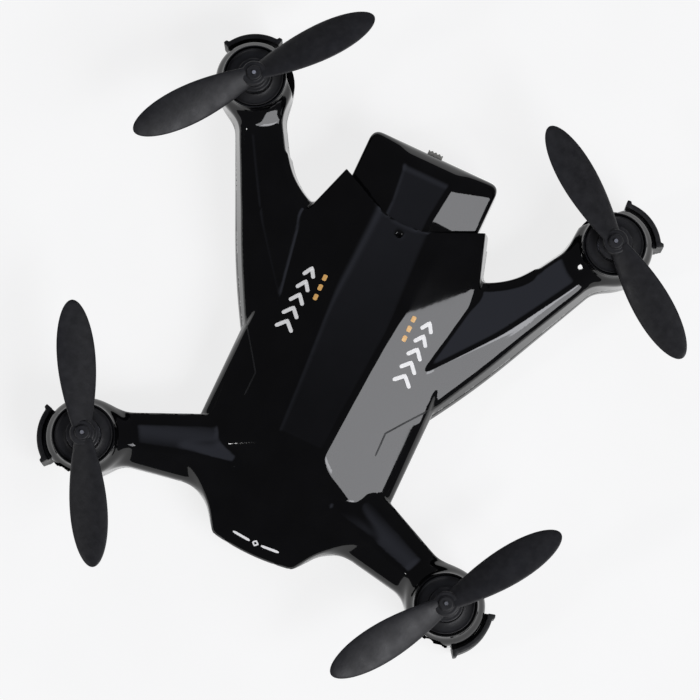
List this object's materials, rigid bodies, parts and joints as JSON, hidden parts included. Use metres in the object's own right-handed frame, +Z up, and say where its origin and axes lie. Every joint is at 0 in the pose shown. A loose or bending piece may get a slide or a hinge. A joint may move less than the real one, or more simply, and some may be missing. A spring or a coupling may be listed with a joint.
{
  "type": "palm-sized quadcopter",
  "caption": "Palm-sized quadcopter: faceted glossy hull on four arms, press-on propellers that spin, and a battery pack that slides out of the tail.",
  "frame": {"origin": "on the ground, below the centre of the square of the four motor axes", "axes": "+Z up along the motor axes, the nose points along -Y and the battery slides out along +Y, +X is the aircraft's left"},
  "size_m": [0.1226, 0.1278, 0.0244],
  "materials": {
    "gloss_black": "polished injection-moulded ABS",
    "matte_black": "fine spark texture",
    "propeller_black": "satin, flexible nylon",
    "rubber_black": "matte moulded rubber",
    "steel": "drawn nickel-plated steel",
    "end_bell_white": "natural nylon",
    "circuit_board": "solder mask over glass fibre",
    "chip_black": "moulded epoxy",
    "wire_jacket": "soft jacket",
    "brass": "plated spring brass",
    "cell_foil": "laminated foil",
    "switch_grey": "ribbed",
    "screw_black": "black oxide"
  },
  "bodies": {
    "airframe": {"upper_shell": "gloss_black", "lower_shell": "gloss_black", "flight_board": "circuit_board", "flight_controller": "chip_black", "radio_chip": "chip_black", "gyro_chip": "chip_black", "radio_crystal": "steel", "antenna_wire": "wire_jacket", "bay_contacts": "brass", "shell_screws": "screw_black", "motor_can_front_left": "steel", "motor_end_bell_front_left": "end_bell_white", "motor_cap_front_left": "matte_black", "foot_front_left": "rubber_black", "motor_leads_front_left": "wire_jacket", "motor_can_front_right": "steel", "motor_end_bell_front_right": "end_bell_white", "motor_cap_front_right": "matte_black", "foot_front_right": "rubber_black", "motor_leads_front_right": "wire_jacket", "motor_can_rear_left": "steel", "motor_end_bell_rear_left": "end_bell_white", "motor_cap_rear_left": "matte_black", "foot_rear_left": "rubber_black", "motor_leads_rear_left": "wire_jacket", "motor_can_rear_right": "steel", "motor_end_bell_rear_right": "end_bell_white", "motor_cap_rear_right": "matte_black", "foot_rear_right": "rubber_black", "motor_leads_rear_right": "wire_jacket"},
    "rotor_front_left": {"motor_shaft_front_left": "steel", "propeller_front_left": "propeller_black"},
    "rotor_front_right": {"motor_shaft_front_right": "steel", "propeller_front_right": "propeller_black"},
    "rotor_rear_left": {"motor_shaft_rear_left": "steel", "propeller_rear_left": "propeller_black"},
    "rotor_rear_right": {"motor_shaft_rear_right": "steel", "propeller_rear_right": "propeller_black"},
    "battery_pack": {"pack_case_upper": "gloss_black", "pack_case_lower": "gloss_black", "pack_contacts": "brass", "switch_housing": "steel", "protection_board": "circuit_board", "battery_cell": "cell_foil"},
    "power_switch": {"switch_knob": "switch_grey"}
  },
  "joints": [
    {"name": "rotor_front_left_spin", "type": "hinge", "parent": "airframe", "child": "rotor_front_left", "pos_m": [0.041, -0.041, 0.0224], "axis": [0, 0, 1], "continuous": true},
    {"name": "rotor_front_right_spin", "type": "hinge", "parent": "airframe", "child": "rotor_front_right", "pos_m": [-0.041, -0.041, 0.0224], "axis": [0, 0, 1], "continuous": true},
    {"name": "rotor_rear_left_spin", "type": "hinge", "parent": "airframe", "child": "rotor_rear_left", "pos_m": [0.041, 0.041, 0.0224], "axis": [0, 0, 1], "continuous": true},
    {"name": "rotor_rear_right_spin", "type": "hinge", "parent": "airframe", "child": "rotor_rear_right", "pos_m": [-0.041, 0.041, 0.0224], "axis": [0, 0, 1], "continuous": true},
    {"name": "battery_slide", "type": "slide", "parent": "airframe", "child": "battery_pack", "axis": [0, 1, 0], "range_m": [0, 0.036]},
    {"name": "power_switch_slide", "type": "slide", "parent": "battery_pack", "child": "power_switch", "axis": [1, 0, 0], "range_m": [0, 0.0012]}
  ]
}
